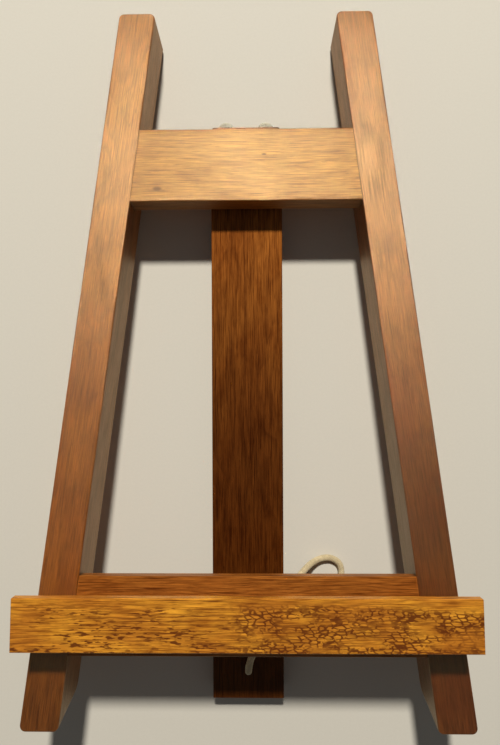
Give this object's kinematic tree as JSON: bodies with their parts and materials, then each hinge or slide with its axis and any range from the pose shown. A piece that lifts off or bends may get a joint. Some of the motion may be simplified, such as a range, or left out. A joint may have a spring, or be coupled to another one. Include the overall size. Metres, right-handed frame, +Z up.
{
  "type": "folding plate display stand",
  "caption": "Small folding wooden easel stand for a display plate: A-shaped frame, lipped front ledge, hinged rear leg and a slack cord that limits how far the leg opens.",
  "frame": {"origin": "middle of the base of the stand as it lies on its back, cord left out", "axes": "+X to the right across the stand, +Y from the feet towards the tops of the uprights, +Z up, out of the frame's front faces"},
  "size_m": [0.1754, 0.2912, 0.0552],
  "materials": {
    "upright_timber": "stained and oiled, golden brown",
    "crossbar_timber": "stained and oiled, golden brown with fine dark streaks",
    "rail_timber": "stained and oiled, reddish brown",
    "ledge_timber": "stained and oiled, golden orange with figured grain",
    "leg_timber": "stained and oiled, dark reddish brown",
    "dowel_timber": "plain beech",
    "leaf_brass": "dulled, coppery",
    "screw_nickel": "nickel plated, bright",
    "screw_zinc": "zinc plated",
    "cotton_cord": "braided natural cotton"
  },
  "bodies": {
    "frame": {"left_upright": "upright_timber", "right_upright": "upright_timber", "crossbar": "crossbar_timber", "lower_rail": "rail_timber", "plate_shelf": "ledge_timber", "front_lip": "ledge_timber", "frame_hinge_leaf": "leaf_brass", "hinge_pin": "leaf_brass", "frame_hinge_screw_left": "screw_nickel", "frame_hinge_screw_right": "screw_nickel", "shelf_screw_left": "screw_zinc", "shelf_screw_right": "screw_zinc", "rail_knot": "cotton_cord", "stay_cord": "cotton_cord", "crossbar_dowel_left_upper": "dowel_timber", "crossbar_dowel_left_lower": "dowel_timber", "crossbar_dowel_right_upper": "dowel_timber", "crossbar_dowel_right_lower": "dowel_timber", "rail_dowel_left_upper": "dowel_timber", "rail_dowel_left_lower": "dowel_timber", "rail_dowel_right_upper": "dowel_timber", "rail_dowel_right_lower": "dowel_timber"},
    "leg": {"rear_leg": "leg_timber", "leg_hinge_leaf": "leaf_brass", "leg_hinge_screw_left": "screw_nickel", "leg_hinge_screw_right": "screw_nickel", "leg_knot": "cotton_cord"}
  },
  "joints": [
    {"name": "leg_swing", "type": "hinge", "parent": "frame", "child": "leg", "pos_m": [0, 0.09666, 0.01478], "axis": [1, 0, 0], "range_deg": [-2, 31], "deforming": ["stay_cord"]}
  ]
}
